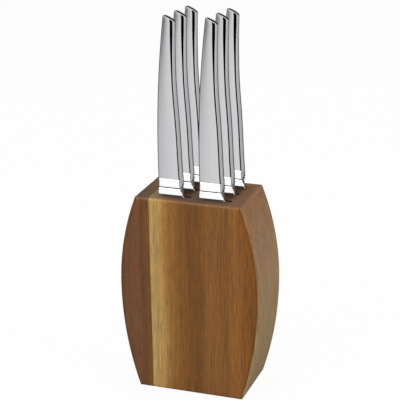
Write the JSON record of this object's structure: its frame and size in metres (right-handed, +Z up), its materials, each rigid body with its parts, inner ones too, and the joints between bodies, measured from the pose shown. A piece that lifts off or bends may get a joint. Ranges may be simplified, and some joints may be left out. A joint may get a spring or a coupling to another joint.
{
  "type": "knife block with knives",
  "caption": "Barrel-sided wooden block with narrow slots that holds all-steel steak knives upright, handles up, so that each lifts straight out.",
  "frame": {"origin": "on the surface the block stands on, under the middle of its box", "axes": "+Z up and the way the knives lift out, +X the side the cutting edges face, -Y the front face"},
  "size_m": [0.092, 0.046, 0.244],
  "materials": {
    "acacia_dark": "oiled dark acacia heartwood, satin",
    "acacia_sap": "oiled acacia, pale sapwood running into brown heartwood, satin",
    "acacia_brown": "oiled brown acacia heartwood, satin",
    "pad_rubber": "matt",
    "blade_steel": "ground satin stainless steel",
    "polished_steel": "mirror polished stainless steel",
    "satin_steel": "satin brushed stainless steel with polished edges",
    "core_filler": "cast filler, unseen"
  },
  "bodies": {
    "block": {"stave_left": "acacia_dark", "stave_slotted_left": "acacia_sap", "stave_slotted_right": "acacia_brown", "stave_right": "acacia_brown", "pads": "pad_rubber"},
    "knife_1": {"blade_1": "blade_steel", "bolster_1": "polished_steel", "handle_1": "satin_steel", "core_1": "core_filler"},
    "knife_2": {"blade_2": "blade_steel", "bolster_2": "polished_steel", "handle_2": "satin_steel", "core_2": "core_filler"},
    "knife_3": {"blade_3": "blade_steel", "bolster_3": "polished_steel", "handle_3": "satin_steel", "core_3": "core_filler"},
    "knife_4": {"blade_4": "blade_steel", "bolster_4": "polished_steel", "handle_4": "satin_steel", "core_4": "core_filler"},
    "knife_5": {"blade_5": "blade_steel", "bolster_5": "polished_steel", "handle_5": "satin_steel", "core_5": "core_filler"},
    "knife_6": {"blade_6": "blade_steel", "bolster_6": "polished_steel", "handle_6": "satin_steel", "core_6": "core_filler"}
  },
  "joints": [
    {"name": "knife_1_lift", "type": "slide", "parent": "block", "child": "knife_1", "axis": [0, 0, 1], "range_m": [0, 0.13]},
    {"name": "knife_2_lift", "type": "slide", "parent": "block", "child": "knife_2", "axis": [0, 0, 1], "range_m": [0, 0.13]},
    {"name": "knife_3_lift", "type": "slide", "parent": "block", "child": "knife_3", "axis": [0, 0, 1], "range_m": [0, 0.13]},
    {"name": "knife_4_lift", "type": "slide", "parent": "block", "child": "knife_4", "axis": [0, 0, 1], "range_m": [0, 0.13]},
    {"name": "knife_5_lift", "type": "slide", "parent": "block", "child": "knife_5", "axis": [0, 0, 1], "range_m": [0, 0.13]},
    {"name": "knife_6_lift", "type": "slide", "parent": "block", "child": "knife_6", "axis": [0, 0, 1], "range_m": [0, 0.13]}
  ]
}
